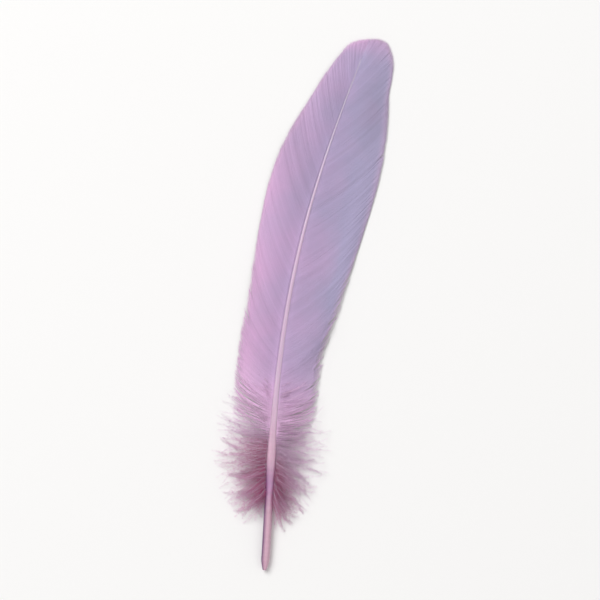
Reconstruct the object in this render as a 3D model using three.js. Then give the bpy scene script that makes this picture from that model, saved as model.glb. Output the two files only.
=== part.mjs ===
// A goose feather lying on a surface with its rounded face up: a shaft, a vane on each side of it, and a
// tuft of down at the foot of each vane. Millimetres, +Z up. +Y runs from the quill's end to the tip.
import * as THREE from "three";

// Driving dimensions of the whole feather
const LENGTH = 172; // end of the quill to the tip, measured straight
const BOW = 9.05; // the shaft's greatest distance to the left of that straight line
const BOW_SKEW = 1.09; // above 1 the bow is deepest past the middle
const ARCH = 4.2; // how far the middle of the shaft stands off the surface
const ARCH_FLATNESS = 1.5; // above 1 both ends lie flatter on the surface
const GAP = 0.15; // left between neighbouring pieces

// Driving dimensions of the shaft
const QUILL_WIDTH = 2.7; // across the bare round quill
const QUILL_END_SHARE = 0.45; // the blunt end's width, as a share of the quill's
const QUILL_TAPER = 4; // length over which the quill rounds off to that end
const QUILL_LENGTH = 34; // the shaft is full width up to here, then thins
const SHAFT_END = 164; // where the shaft is lost among the last barbs
const SHAFT_END_WIDTH = 0.36;
const SHAFT_THINNING = 1.4; // above 1 the shaft thins quickest near the quill
const SHAFT_SIDES = 12;
const TAPER_STEPS = 6;
const SHAFT_STEPS = 40;

// Driving dimensions of the vanes: where their first barb grows, and each outer edge from there to the tip
const VANE_START = 43;
const VANE_THICKNESS = 0.5;
const VANE_CAMBER = 1.7; // above 1 a barb leaves the shaft level and droops towards its end
const VANE_STEPS = { across: 8, along: 42 };
const TIP_DIP = 0.7; // how far short of the tip the two edges meet
const LEFT_EDGE = [
  [-17.4, 45],
  [-19.8, 52],
  [-21.4, 62],
  [-22, 78],
  [-22.4, 95],
  [-22.7, 110],
  [-22.2, 123],
  [-20.1, 135],
  [-15.9, 147.2],
  [-10.5, 160.5],
  [-6.8, 167.4],
  [-3.6, 170.3],
  [-GAP, LENGTH - TIP_DIP],
];
const RIGHT_EDGE = [
  [4.4, 43.5],
  [5.6, 52],
  [5, 62],
  [4.9, 72],
  [6.6, 82],
  [9.1, 103],
  [11, 119],
  [11.6, 134],
  [11, 145],
  [9.6, 155],
  [9.5, 161.5],
  [8.6, 167],
  [6.2, 170.9],
  [3, 171.9],
  [GAP, LENGTH - TIP_DIP],
];

// Driving dimensions of the down: the stretch of shaft it grows on, and each tuft's outer edge
const DOWN_START = 22;
const DOWN_END = 41.5;
const DOWN_ROOT_HEIGHT = 1.6;
const DOWN_EDGE_HEIGHT = 0.9;
const DOWN_SWELL = 2.4; // how far the tuft bulges between its root and its edge
const DOWN_CLEARANCE = 0.1; // under the tuft
const DOWN_STEPS = { across: 6, along: 12 };
const LEFT_DOWN_EDGE = [
  [-7.4, 14],
  [-14, 15.5],
  [-19.4, 23],
  [-23, 31],
  [-24.4, 42.5],
];
const RIGHT_DOWN_EDGE = [
  [3, 14.5],
  [7.6, 17],
  [10.8, 24],
  [13, 31],
  [13.2, 41.5],
];

// How barbs grow: where along the edge each one ends, and how it bends on the way
const EDGE_LEAD = 0.72; // under 1 the barbs end nearer the tip than where they grow
const BARB_BEND = THREE.MathUtils.degToRad(12); // a barb leaves the shaft this much wider than it ends
const BEND_FADE = 4; // power by which the bend fades out towards the tip

const LEFT = -1;
const RIGHT = 1;
const { lerp } = THREE.MathUtils;

// The shaft's centre line, as a function of the distance y from the end of the quill
function shaftX(y) {
  return -BOW * Math.sin(Math.PI * (y / LENGTH) ** BOW_SKEW);
}

function shaftZ(y) {
  const lying = lerp(QUILL_WIDTH, VANE_THICKNESS, y / LENGTH) / 2;
  return lying + ARCH * Math.sin((Math.PI * y) / LENGTH) ** ARCH_FLATNESS;
}

// The direction across the shaft at y, pointing right
function shaftSide(y) {
  const step = 0.5;
  const run = new THREE.Vector2(shaftX(y + step) - shaftX(Math.max(y - step, 0)), 2 * step).normalize();
  return new THREE.Vector2(run.y, -run.x);
}

function shaftWidth(y) {
  if (y < QUILL_TAPER) {
    return QUILL_WIDTH * lerp(QUILL_END_SHARE, 1, Math.sin((Math.PI * y) / QUILL_TAPER / 2));
  }
  const thinning = Math.max(0, (y - QUILL_LENGTH) / (SHAFT_END - QUILL_LENGTH));
  return lerp(SHAFT_END_WIDTH, QUILL_WIDTH, (1 - Math.min(thinning, 1)) ** SHAFT_THINNING);
}

// Moves every vertex of a geometry to where place(x, y, z) says
function reshape(geometry, place) {
  const position = geometry.getAttribute("position");
  for (let i = 0; i < position.count; i += 1) {
    const { x, y, z } = place(position.getX(i), position.getY(i), position.getZ(i));
    position.setXYZ(i, x, y, z);
  }
  geometry.computeVertexNormals();
  return geometry;
}

// A round profile of changing width, turned about a straight line and then bent along the shaft's path
function shaftGeometry() {
  const profile = [new THREE.Vector2(0, 0)];
  for (let i = 0; i < TAPER_STEPS; i += 1) {
    const y = (QUILL_TAPER * i) / TAPER_STEPS;
    profile.push(new THREE.Vector2(shaftWidth(y) / 2, y));
  }
  for (let i = 0; i <= SHAFT_STEPS; i += 1) {
    const y = lerp(QUILL_TAPER, SHAFT_END, i / SHAFT_STEPS);
    profile.push(new THREE.Vector2(shaftWidth(y) / 2, y));
  }
  profile.push(new THREE.Vector2(0, SHAFT_END));
  return reshape(new THREE.LatheGeometry(profile, SHAFT_SIDES), (x, y, z) => {
    const side = shaftSide(y);
    return new THREE.Vector3(shaftX(y) + x * side.x, y + x * side.y, shaftZ(y) + z);
  });
}

// A point of a barb in plan. grow is how far along its stretch of shaft the barb grows, and out how far
// along the barb the point lies, both 0 to 1.
function barbPoint(side, stretch, edge, grow, out) {
  const y = lerp(stretch.start, stretch.end, grow);
  const offset = side * (shaftWidth(y) / 2 + GAP);
  const root = new THREE.Vector2(shaftX(y), y).addScaledVector(shaftSide(y), offset);
  const end = edge.getPointAt(grow ** EDGE_LEAD);
  const bend = -side * BARB_BEND * (1 - grow ** BEND_FADE);
  const middle = end.clone().sub(root).multiplyScalar(0.5).rotateAround(new THREE.Vector2(), bend).add(root);
  return new THREE.QuadraticBezierCurve(root, middle, end).getPoint(out);
}

// A box whose width runs along the barbs and whose length runs along the shaft, laid over the barbs.
// heights(y, out) gives the lowest and highest point of the piece there.
function webGeometry(side, stretch, edgePoints, steps, heights) {
  const edge = new THREE.SplineCurve(edgePoints.map(([x, y]) => new THREE.Vector2(x, y)));
  const box = new THREE.BoxGeometry(1, 1, 1, steps.across, steps.along, 1);
  return reshape(box, (x, y, z) => {
    const out = 0.5 + side * x;
    const grow = 0.5 + y;
    const plan = barbPoint(side, stretch, edge, grow, out);
    const [low, high] = heights(lerp(stretch.start, stretch.end, grow), out);
    return new THREE.Vector3(plan.x, plan.y, z < 0 ? low : high);
  });
}

// A vane droops from the shaft's height to the surface at its outer edge
function vaneHeights(y, out) {
  const middle = lerp(shaftZ(y), VANE_THICKNESS / 2, out ** VANE_CAMBER);
  return [middle - VANE_THICKNESS / 2, middle + VANE_THICKNESS / 2];
}

// A tuft of down swells between the shaft and its edge, and rests just clear of the surface
function downHeights(y, out) {
  const height = lerp(DOWN_ROOT_HEIGHT, DOWN_EDGE_HEIGHT, out) + DOWN_SWELL * Math.sin(Math.PI * out);
  const low = lerp(shaftZ(y) - DOWN_ROOT_HEIGHT / 2, DOWN_CLEARANCE, Math.sin((Math.PI * out) / 2));
  return [low, low + height];
}

function piece(name, geometry, color, roughness) {
  const mesh = new THREE.Mesh(geometry, new THREE.MeshStandardMaterial({ color, roughness, metalness: 0 }));
  mesh.name = name;
  return mesh;
}

function vaneGeometry(side, edge) {
  return webGeometry(side, { start: VANE_START, end: SHAFT_END }, edge, VANE_STEPS, vaneHeights);
}

function downGeometry(side, edge) {
  return webGeometry(side, { start: DOWN_START, end: DOWN_END }, edge, DOWN_STEPS, downHeights);
}

const feather = new THREE.Group();
feather.add(piece("shaft", shaftGeometry(), "#dfc0d6", 0.4));
feather.add(piece("vane_left", vaneGeometry(LEFT, LEFT_EDGE), "#c0a2c6", 0.7));
feather.add(piece("vane_right", vaneGeometry(RIGHT, RIGHT_EDGE), "#ab9ac0", 0.7));
feather.add(piece("down_left", downGeometry(LEFT, LEFT_DOWN_EDGE), "#b98aa6", 0.9));
feather.add(piece("down_right", downGeometry(RIGHT, RIGHT_DOWN_EDGE), "#b08aa8", 0.9));

// The origin is on the surface, under the middle of the feather's box
const box = new THREE.Box3().setFromObject(feather);
const middle = box.getCenter(new THREE.Vector3());
feather.position.set(-middle.x, -middle.y, -box.min.z);

const part = new THREE.Group();
part.add(feather);

export default part;
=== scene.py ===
"""A lilac goose feather lying on a pale floor with its rounded face up.

Every barb of the two vanes is modelled, and so are the strands of the down. Shapes are worked out in
millimetres on the feather's own plan, where x is the distance to the right of the straight line from the
quill's end to the tip, y the distance along that line and z the height above the floor. They move into
the frame's metres as each mesh is made.
"""

import logging
import math
from dataclasses import dataclass, field
from enum import Enum

import bpy
import numpy as np
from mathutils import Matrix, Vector


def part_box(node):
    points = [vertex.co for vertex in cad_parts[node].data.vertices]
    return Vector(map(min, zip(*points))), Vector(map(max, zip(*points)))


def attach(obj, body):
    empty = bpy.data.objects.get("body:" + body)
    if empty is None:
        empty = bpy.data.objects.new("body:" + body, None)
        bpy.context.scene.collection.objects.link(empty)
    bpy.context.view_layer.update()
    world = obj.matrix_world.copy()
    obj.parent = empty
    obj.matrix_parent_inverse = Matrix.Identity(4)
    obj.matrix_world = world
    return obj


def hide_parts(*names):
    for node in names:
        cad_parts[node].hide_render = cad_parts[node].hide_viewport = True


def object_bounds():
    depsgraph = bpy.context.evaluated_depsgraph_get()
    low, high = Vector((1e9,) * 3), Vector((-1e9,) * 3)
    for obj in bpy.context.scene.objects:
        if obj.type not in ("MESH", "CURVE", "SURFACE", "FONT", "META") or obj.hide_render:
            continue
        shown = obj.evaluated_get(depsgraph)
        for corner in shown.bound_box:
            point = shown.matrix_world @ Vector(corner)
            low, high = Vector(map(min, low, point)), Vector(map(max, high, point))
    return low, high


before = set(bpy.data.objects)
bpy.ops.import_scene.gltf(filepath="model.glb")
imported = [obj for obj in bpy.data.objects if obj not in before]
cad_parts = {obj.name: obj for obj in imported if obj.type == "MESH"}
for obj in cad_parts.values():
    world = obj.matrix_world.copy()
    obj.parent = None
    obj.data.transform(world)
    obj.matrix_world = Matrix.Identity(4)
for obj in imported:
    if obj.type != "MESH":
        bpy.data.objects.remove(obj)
cad_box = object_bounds()

Array = np.ndarray
Span = tuple[float, float]
Triple = tuple[float, float, float]
Region = tuple[float, float, float, float]
Places = tuple[float, ...]
Tint = tuple[int, int, int]
Colour = tuple[float, float, float, float]
Socket = bpy.types.NodeSocket
Source = Socket | float | tuple

MM = 0.001
BODY = "root"
BAKE_MAP = "OFBake"
UP = np.array([0.0, 0.0, 1.0])
FULL_TURN = 2.0 * np.pi
SHORTEST = 1e-12
HALF = 0.5
# Heights of a ramp that rises, stays and falls over four given places
RISE_AND_FALL = (0.0, 1.0, 1.0, 0.0)

log = logging.getLogger("feather")


class Side(Enum):
    """A side of the shaft, seen from above with the tip pointing away."""

    LEFT = -1
    RIGHT = 1


class Slot(Enum):
    """The record's material slots."""

    SHAFT = "shaft"
    VANE = "vane"
    DOWN = "down"


def mix(start: Array | float, end: Array | float, share: Array | float) -> Array:
    """Walks a share of the way: start plus the share times the way from start to end."""
    return start + (end - start) * share


def ease(low: Array | float, high: float, value: Array) -> Array:
    """Climbs from 0 at low to 1 at high: three times the climbed share's square less twice its cube."""
    share = np.clip((value - low) / (high - low), 0.0, 1.0)
    return share * share * (3.0 - 2.0 * share)


def bell(distance: Array) -> Array:
    """Falls from 1 at no distance to 0 far away: e to the power of minus the distance squared."""
    return np.exp(-(distance**2))


def unit(vectors: Array) -> Array:
    """Scales vectors on the last axis to length 1."""
    return vectors / np.maximum(np.linalg.norm(vectors, axis=-1, keepdims=True), SHORTEST)


def turns(around: int) -> Array:
    """Spreads angles evenly round a full turn."""
    return np.linspace(0.0, FULL_TURN, around, endpoint=False)


def shares(count: int) -> Array:
    """Spreads places evenly from 0 to 1."""
    return np.linspace(0.0, 1.0, count)


def level_and_upward(along: Array) -> tuple[Array, Array]:
    """Finds the level direction to the left of a heading, and the one that stands up from both."""
    level = unit(np.cross(UP, along))
    return level, np.cross(along, level)


def past_end(paths: Array, distance: float) -> Array:
    """Finds the points a little past the ends of paths, straight on."""
    return paths[:, -1] + distance * unit(paths[:, -1] - paths[:, -2])


def wander(rng: np.random.Generator, value: Array, step: float) -> Array:
    """Draws a smooth random line between -1 and 1.

    Args:
        rng: Where the random heights come from.
        value: Places along the line, none below 0.
        step: Distance between the random heights.

    Returns:
        The line's height at each place, eased from one random height to the next.
    """
    cell = np.floor(value / step).astype(int)
    heights = rng.uniform(-1.0, 1.0, cell.max() + 2)
    return mix(heights[cell], heights[cell + 1], ease(0.0, 1.0, value / step - cell))


def spread_by(even: Array, places: Places, thickness: Places, samples: int = 500) -> Array:
    """Crowds evenly spread places where they should grow thickest.

    Args:
        even: Places spread evenly from 0 to 1.
        places: Where the thickness is given, from 0 to 1.
        thickness: How thick the growth is there, in any measure.
        samples: How finely the thickness is summed.

    Returns:
        The places moved so that as many lie in a stretch as its share of the summed thickness.
    """
    fine = shares(samples)
    grown = np.cumsum(np.interp(fine, places, thickness))
    grown = (grown - grown[0]) / (grown[-1] - grown[0])
    return np.interp(even, grown, fine)


def linear(tint: Tint) -> Colour:
    """Turns a display colour of 0 to 255 into the linear colour that shaders take.

    The display's curve is a straight line near black and a power of 2.4 above it.

    Args:
        tint: Red, green and blue as a screen shows them.

    Returns:
        Linear red, green and blue, and an alpha of 1.
    """
    share = np.array(tint) / 255.0
    bright = ((share + 0.055) / 1.055) ** 2.4
    red, green, blue = np.where(share <= 0.04045, share / 12.92, bright)
    return float(red), float(green), float(blue), 1.0


def add_object(name: str, data: bpy.types.ID) -> bpy.types.Object:
    """Puts a new object at the origin of the scene.

    Args:
        name: Its name.
        data: Its mesh, light or camera.

    Returns:
        The object.
    """
    added = bpy.data.objects.new(name, data)
    bpy.context.scene.collection.objects.link(added)
    return added


@dataclass(frozen=True)
class EdgeCurve:
    """A smooth line in plan through a few points, walked by its own length."""

    given: tuple[Span, ...]
    samples: int = 600

    def line(self) -> Array:
        """Finds close points along the curve.

        Between two given points the line is the cubic whose slope at each of them is half the step
        between that point's own neighbours.

        Returns:
            Points of the curve, as an array of x and y.
        """
        points = np.array(self.given)
        last = len(points) - 1
        walk = np.linspace(0.0, last, self.samples)
        start = np.minimum(walk.astype(int), last - 1)
        share = (walk - start)[:, None]
        here, there = points[start], points[start + 1]
        slope_here = (there - points[np.maximum(start - 1, 0)]) / 2.0
        slope_there = (points[np.minimum(start + 2, last)] - here) / 2.0
        cubic = 2.0 * here - 2.0 * there + slope_here + slope_there
        square = 3.0 * there - 3.0 * here - 2.0 * slope_here - slope_there
        return ((cubic * share + square) * share + slope_here) * share + here

    def at(self, share: Array) -> Array:
        """Walks along the curve.

        Args:
            share: Shares of the curve's length, 0 to 1.

        Returns:
            The points there, with x and y on a new last axis.
        """
        line = self.line()
        steps = np.linalg.norm(np.diff(line, axis=0), axis=1)
        walked = np.concatenate([[0.0], np.cumsum(steps)])
        walked /= walked[-1]
        return np.stack([np.interp(share, walked, line[:, axis]) for axis in (0, 1)], axis=-1)


@dataclass
class MeshParts:
    """Points in millimetres on the plan, triangles, their corners' places on the bake map, point values."""

    points: Array
    faces: Array
    bake: Array
    values: dict[str, Array]

    @staticmethod
    def join(parts: list["MeshParts"]) -> "MeshParts":
        """Puts several parts into one.

        Args:
            parts: Parts with the same kinds of values.

        Returns:
            One set of points, faces, map places and values.
        """
        starts = np.cumsum([0] + [len(part.points) for part in parts[:-1]])
        return MeshParts(
            np.concatenate([part.points for part in parts]),
            np.concatenate([part.faces + start for part, start in zip(parts, starts)]),
            np.concatenate([part.bake for part in parts]),
            {name: np.concatenate([part.values[name] for part in parts]) for name in parts[0].values},
        )


@dataclass
class Strands:
    """Closed strands that share one grid: rings of points from root to tip, and a point closing each end.

    rings has the shape (strands, rings, points round, 3), roots and tips (strands, 3), and each of values
    (strands, rings). region is the part of the bake map that the strands fill, as low and high corners.
    """

    rings: Array
    roots: Array
    tips: Array
    values: dict[str, Array]
    columns: int
    region: Region = (0.0, 0.0, 1.0, 1.0)
    mirrored: bool = False
    cell_margin: float = 0.08

    def corner_places(self) -> Array:
        """Lays out one strand's triangles.

        Two triangles fill each square between neighbouring rings, and a fan closes each end.

        Returns:
            For each triangle and corner, how many points round the strand and how many rings along it
            the corner lies, counted from the root point at 0 to the tip point past the last ring.
        """
        count, around = self.rings.shape[1:3]
        turn, row = (grid.ravel() for grid in np.meshgrid(np.arange(around), np.arange(1, count)))
        ends = np.arange(around)
        flat = np.zeros_like(ends)
        corners = (
            [[turn, row], [turn + 1, row], [turn + 1, row + 1]],
            [[turn, row], [turn + 1, row + 1], [turn, row + 1]],
            [[ends + HALF, flat], [ends + 1, flat + 1], [ends, flat + 1]],
            [[ends, flat + count], [ends + 1, flat + count], [ends + HALF, flat + count + 1]],
        )
        return np.concatenate([np.array(group, float).transpose(2, 0, 1) for group in corners])

    def bake_places(self, places: Array) -> Array:
        """Gives each strand a cell of its own on the bake map, cells side by side in rows.

        Args:
            places: What corner_places returns.

        Returns:
            Map places of every strand's corners, with the strand on the first axis.
        """
        strands, count, around = self.rings.shape[:3]
        number = np.arange(strands)
        cell = np.stack([number % self.columns, number // self.columns], axis=-1)
        inside = places / np.array([around, count + 1.0])
        inside = self.cell_margin + (1.0 - 2.0 * self.cell_margin) * inside
        spread = (cell[:, None, None] + inside) / np.array([self.columns, math.ceil(strands / self.columns)])
        return mix(np.array(self.region[:2]), np.array(self.region[2:]), spread)

    def point_values(self, value: Array) -> Array:
        """Gives each point its ring's value, and the end points those of the first and last ring."""
        round_ring = np.repeat(value, self.rings.shape[2], axis=1)
        return np.concatenate([round_ring, value[:, :1], value[:, -1:]], axis=1).ravel()

    def parts(self) -> MeshParts:
        """Makes the strands' points, triangles, map places and values.

        Returns:
            The parts of one mesh. A strand's points are its rings, then its root, then its tip.
        """
        strands, count, around = self.rings.shape[:3]
        places = self.corner_places()
        turn, row = places[..., 0].astype(int), places[..., 1].astype(int)
        on_ring = (row - 1) * around + turn % around
        template = np.select([row == 0, row == count + 1], [count * around, count * around + 1], on_ring)
        stride = count * around + 2
        faces = template[None] + stride * np.arange(strands)[:, None, None]
        bake = self.bake_places(places)
        if self.mirrored:
            faces, bake = faces[:, :, ::-1], bake[:, :, ::-1]
        body = self.rings.reshape(strands, -1, 3)
        points = np.concatenate([body, self.roots[:, None], self.tips[:, None]], axis=1)
        values = {name: self.point_values(value) for name, value in self.values.items()}
        return MeshParts(points.reshape(-1, 3), faces.reshape(-1, 3), bake.reshape(-1, 3, 2), values)


@dataclass(frozen=True)
class FeatherForm:
    """The lines that the whole feather follows, in millimetres."""

    length: float = 172.0
    bow: float = 9.05
    bow_skew: float = 1.09
    arch: float = 4.2
    arch_flatness: float = 1.5
    quill_width: float = 2.7
    quill_end_share: float = 0.45
    quill_taper: float = 4.0
    quill_length: float = 34.0
    quill_swell: float = 0.1
    swell_middle: float = 36.0
    swell_spread: float = 6.0
    shaft_end: float = 164.0
    shaft_end_width: float = 0.36
    shaft_thinning: float = 1.4
    tip_height: float = 0.5
    slope_step: float = 0.5
    # The vanes' outer edges from the foot to the tip, as points of x and y
    left_edge: EdgeCurve = EdgeCurve(
        (
            *((-17.4, 45.0), (-19.8, 52.0), (-21.4, 62.0), (-22.0, 78.0), (-22.4, 95.0)),
            *((-22.7, 110.0), (-22.2, 123.0), (-20.1, 135.0), (-15.9, 147.2), (-10.5, 160.5)),
            *((-6.8, 167.4), (-3.6, 170.3), (0.0, 171.3)),
        )
    )
    right_edge: EdgeCurve = EdgeCurve(
        (
            *((4.4, 43.5), (5.6, 52.0), (5.0, 62.0), (4.9, 72.0), (6.6, 82.0)),
            *((9.1, 103.0), (11.0, 119.0), (11.6, 134.0), (11.0, 145.0), (9.6, 155.0)),
            *((9.5, 161.5), (8.6, 167.0), (6.2, 170.9), (3.0, 171.9), (0.0, 171.3)),
        )
    )

    def edge(self, side: Side) -> EdgeCurve:
        """Picks the outer edge of the vane on one side."""
        return self.left_edge if side is Side.LEFT else self.right_edge

    def centre(self, y: Array) -> Array:
        """Follows the shaft's centre line.

        The bow is a sine over the length, skewed towards the tip, and the arch is a sine raised to a
        power, on top of half the thickness that lies on the floor.

        Args:
            y: Distances from the quill's end.

        Returns:
            Points of the line, with x, y and z on a new last axis.
        """
        share = np.clip(y / self.length, 0.0, 1.0)
        x = -self.bow * np.sin(np.pi * share**self.bow_skew)
        lying = mix(self.quill_width, self.tip_height, share) / 2.0
        z = lying + self.arch * np.sin(np.pi * share) ** self.arch_flatness
        return np.stack([x, y, z], axis=-1)

    def across(self, y: Array) -> Array:
        """Finds the level direction across the shaft, to the right, from points just before and past y.

        Args:
            y: Distances from the quill's end.

        Returns:
            Unit vectors with x, y and z on a new last axis.
        """
        run = self.centre(y + self.slope_step) - self.centre(np.maximum(y - self.slope_step, 0.0))
        return unit(np.stack([run[..., 1], -run[..., 0], np.zeros_like(y)], axis=-1))

    def width(self, y: Array) -> Array:
        """Measures the shaft across.

        The quill narrows to its end by a sine, stays even, and then thins by a power of what is left. A
        bell curve swells it a little where it ends.

        Args:
            y: Distances from the quill's end.

        Returns:
            The shaft's width there.
        """
        ending = np.sin(np.clip(y / self.quill_taper, 0.0, 1.0) * np.pi / 2.0)
        left = 1.0 - np.clip((y - self.quill_length) / (self.shaft_end - self.quill_length), 0.0, 1.0)
        thinned = mix(self.shaft_end_width, self.quill_width, left**self.shaft_thinning)
        swell = self.quill_swell * bell((y - self.swell_middle) / self.swell_spread)
        return thinned * mix(self.quill_end_share, 1.0, ending) * (1.0 + swell)

    def in_frame(self, points: Array) -> Array:
        """Moves plan points into the frame.

        The quill's end is at the low end of the shaft's box, and the left edge at that vane's.

        Args:
            points: Points in millimetres.

        Returns:
            The same points in the frame's metres.
        """
        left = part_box("vane_left")[0].x - self.left_edge.line()[:, 0].min() * MM
        return points * MM + np.array([left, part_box("shaft")[0].y, 0.0])


@dataclass(frozen=True)
class Grain:
    """A noise: its patches to a unit of place, how many finer layers it has, extra scale along each axis."""

    scale: float
    detail: float
    stretch: Triple | None = None


class NodeSheet:
    """A material's nodes, added and joined in short calls."""

    def __init__(self, name: str) -> None:
        """Starts a material with a Principled shader.

        Args:
            name: The material's name.
        """
        self.material = bpy.data.materials.new(name)
        self.material.use_nodes = True
        self.tree = self.material.node_tree
        self.shader = self.tree.nodes["Principled BSDF"]

    def add(self, kind: str, inputs: dict | None = None, **settings: object) -> bpy.types.Node:
        """Adds a node.

        Args:
            kind: The node's type without the leading ShaderNode.
            inputs: Values or output sockets for its inputs, by name or number.
            settings: Properties of the node itself.

        Returns:
            The new node.
        """
        node = self.tree.nodes.new("ShaderNode" + kind)
        for name, value in settings.items():
            setattr(node, name, value)
        for key, value in (inputs or {}).items():
            self.put(node.inputs[key], value)
        return node

    def put(self, socket: Socket, source: Source) -> None:
        """Links an output to a socket, or sets the socket's value.

        Args:
            socket: The socket.
            source: The output to link, or the value to set.
        """
        if isinstance(source, Socket):
            self.tree.links.new(source, socket)
        else:
            socket.default_value = source

    def dress(self, inputs: dict[str, Source]) -> None:
        """Sets or links the shader's own sockets by name."""
        for name, source in inputs.items():
            self.put(self.shader.inputs[name], source)

    def math(self, operation: str, first: Source, second: Source, clamp: bool = False) -> Socket:
        """Adds a Math node.

        Args:
            operation: What it does.
            first: Its first number or socket.
            second: Its second number or socket.
            clamp: Whether the result stays between 0 and 1.

        Returns:
            The result's socket.
        """
        node = self.add("Math", {0: first, 1: second}, operation=operation, use_clamp=clamp)
        return node.outputs[0]

    def total(self, first: Source, *others: Source) -> Socket:
        """Adds up numbers and sockets in order.

        Args:
            first: The first number or socket.
            others: What is added to it.

        Returns:
            The sum's socket.
        """
        for other in others:
            first = self.math("ADD", first, other)
        return first

    def swing(self, share: Socket, amount: float) -> Socket:
        """Turns a share about a half into a swing about 0: the share less a half, times the amount."""
        return self.math("MULTIPLY", self.math("SUBTRACT", share, HALF), amount)

    def value(self, name: str) -> Socket:
        """Reads a point value of the mesh."""
        return self.add("Attribute", attribute_name=name).outputs["Fac"]

    def place(self, *names: str) -> Socket:
        """Joins point values of the mesh into a place, as its x, y and z."""
        return self.add("CombineXYZ", {axis: self.value(name) for axis, name in enumerate(names)}).outputs[0]

    def noise(self, grain: Grain, place: Socket | None = None) -> Socket:
        """Adds noise.

        Args:
            grain: The noise's sizes.
            place: Where to read it, Object coordinates in metres if not given.

        Returns:
            The noise's socket, about 0.5 on average.
        """
        place = place or self.add("TexCoord").outputs["Object"]
        if grain.stretch is not None:
            place = self.add("Mapping", {"Vector": place, "Scale": grain.stretch}).outputs["Vector"]
        inputs = {"Vector": place, "Scale": grain.scale, "Detail": grain.detail}
        return self.add("TexNoise", inputs).outputs["Fac"]

    def tints(self, share: Socket, low: Source, high: Source) -> Socket:
        """Mixes two colours.

        Args:
            share: How much of the second colour.
            low: The first colour or socket.
            high: The second colour or socket.

        Returns:
            The mixed colour's socket.
        """
        node = self.add("Mix", data_type="RGBA")
        first, second = (socket for socket in node.inputs if socket.type == "RGBA")
        for socket, source in ((node.inputs[0], share), (first, low), (second, high)):
            self.put(socket, source)
        return next(socket for socket in node.outputs if socket.type == "RGBA")

    def shade(self, colour: Socket, brightness: Socket) -> Socket:
        """Brightens or darkens a colour by a factor."""
        return self.add("HueSaturation", {"Color": colour, "Value": brightness}).outputs["Color"]

    def let_light_through(self, colour: Socket, share: float) -> None:
        """Lets a share of the light through, in a colour.

        Args:
            colour: The colour's socket.
            share: How much of the surface lets light through.
        """
        through = self.add("BsdfTranslucent", {"Color": colour}).outputs[0]
        both = self.add("MixShader", {0: share, 1: self.shader.outputs[0], 2: through}).outputs[0]
        self.put(self.tree.nodes["Material Output"].inputs["Surface"], both)

    def bump(self, height: Socket, strength: float, distance: float) -> None:
        """Raises the shader's surface by a height.

        Args:
            height: The height's socket.
            strength: How much of it shows.
            distance: The height that 1 stands for, in metres.
        """
        inputs = {"Height": height, "Strength": strength, "Distance": distance}
        self.dress({"Normal": self.add("Bump", inputs).outputs["Normal"]})


@dataclass(frozen=True)
class WebFinish:
    """The dyed web of the vanes: greyer lavender where it took less dye, orchid where it took more."""

    lavender: Tint = (171, 162, 194)
    orchid: Tint = (209, 167, 206)
    pale: Tint = (247, 204, 238)
    cloud: Grain = Grain(70.0, 3.0)
    cloud_contrast: float = 0.8
    streak: Grain = Grain(1.0, 3.0, (0.3, 0.28, 1.0))
    streak_contrast: float = 0.06
    barb_contrast: float = 0.04
    roughness: float = 0.6
    roughness_swing: float = 0.2
    fuzz: Grain = Grain(6000.0, 2.0)
    fuzz_strength: float = 0.15
    fuzz_height: float = 0.00005
    sheen: float = 0.25
    sheen_roughness: float = 0.4
    specular: float = 0.35

    def material(self) -> bpy.types.Material:
        """Makes the finish.

        The dye value and cloudy noise mix lavender into orchid, and the pale value bleaches the barbs'
        ends and the loose ones. Barbs differ a little in brightness, streaks run along bundles of them,
        and the painted shading value dims patches with painted shade and brightens others, and the band
        beside the shaft, with painted light.

        Returns:
            The material.
        """
        sheet = NodeSheet("dyed_web")
        cloud = sheet.swing(sheet.noise(self.cloud), self.cloud_contrast)
        dye = sheet.math("ADD", sheet.value("dye"), cloud, clamp=True)
        colour = sheet.tints(dye, linear(self.lavender), linear(self.orchid))
        colour = sheet.tints(sheet.value("pale"), colour, linear(self.pale))
        streak = sheet.noise(self.streak, sheet.place("walk", "rank"))
        streaks = sheet.swing(streak, self.streak_contrast)
        barbs = sheet.math("MULTIPLY", sheet.value("tone"), self.barb_contrast)
        # Painted light and shade: the painted shading value dims some patches and brightens others and the
        # band beside the shaft
        painted_light_factor = sheet.math("SUBTRACT", 1.0, sheet.value("painted_shading"))
        brightness = sheet.total(streaks, barbs, painted_light_factor)
        sheet.dress(
            {
                "Base Color": sheet.shade(colour, brightness),
                "Roughness": sheet.total(sheet.swing(streak, self.roughness_swing), self.roughness),
                "Sheen Weight": self.sheen,
                "Sheen Roughness": self.sheen_roughness,
                "Specular IOR Level": self.specular,
            }
        )
        sheet.bump(sheet.noise(self.fuzz), self.fuzz_strength, self.fuzz_height)
        return sheet.material


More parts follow.
